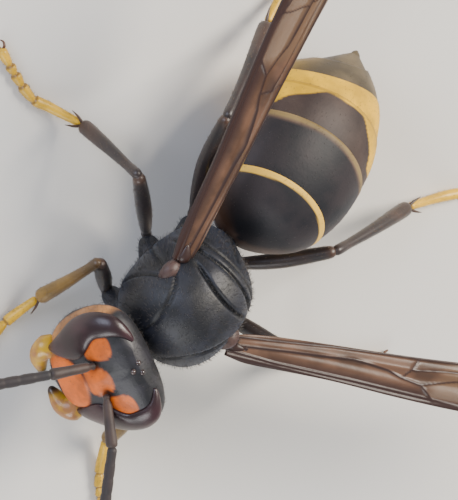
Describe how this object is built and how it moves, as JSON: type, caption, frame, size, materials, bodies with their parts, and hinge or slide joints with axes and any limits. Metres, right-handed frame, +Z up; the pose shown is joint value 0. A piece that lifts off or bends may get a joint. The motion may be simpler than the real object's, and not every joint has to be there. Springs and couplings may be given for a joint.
{
  "type": "hornet model",
  "caption": "Life-size Asian hornet standing on its feet, wings half opened over a banded gaster, feelers held forward.",
  "frame": {"origin": "on the floor under the middle of the whole object's bounds", "axes": "+Z up, the hornet faces -Y and its left side is towards +X"},
  "size_m": [0.0292, 0.0308, 0.011],
  "materials": {
    "cuticle": "satin",
    "brown_cuticle": "satin",
    "orange_cuticle": "satin",
    "yellow_cuticle": "satin",
    "eye": "gloss",
    "wing": "gloss"
  },
  "bodies": {
    "root": {"thorax": "cuticle", "head": "cuticle", "gaster_1": "cuticle", "gaster_2": "cuticle", "gaster_3": "cuticle", "gaster_4": "yellow_cuticle", "gaster_5": "cuticle", "gaster_6": "cuticle", "eye_left": "eye", "mandible_left": "orange_cuticle", "scape_left": "cuticle", "flagellum_left": "cuticle", "forewing_left": "wing", "hindwing_left": "wing", "femur_front_left": "cuticle", "tibia_front_left": "brown_cuticle", "tarsus_front_left": "yellow_cuticle", "femur_middle_left": "cuticle", "tibia_middle_left": "brown_cuticle", "tarsus_middle_left": "yellow_cuticle", "femur_hind_left": "cuticle", "tibia_hind_left": "brown_cuticle", "tarsus_hind_left": "yellow_cuticle", "eye_right": "eye", "mandible_right": "orange_cuticle", "scape_right": "cuticle", "flagellum_right": "cuticle", "forewing_right": "wing", "hindwing_right": "wing", "femur_front_right": "cuticle", "tibia_front_right": "brown_cuticle", "tarsus_front_right": "yellow_cuticle", "femur_middle_right": "cuticle", "tibia_middle_right": "brown_cuticle", "tarsus_middle_right": "yellow_cuticle", "femur_hind_right": "cuticle", "tibia_hind_right": "brown_cuticle", "tarsus_hind_right": "yellow_cuticle"}
  },
  "joints": []
}
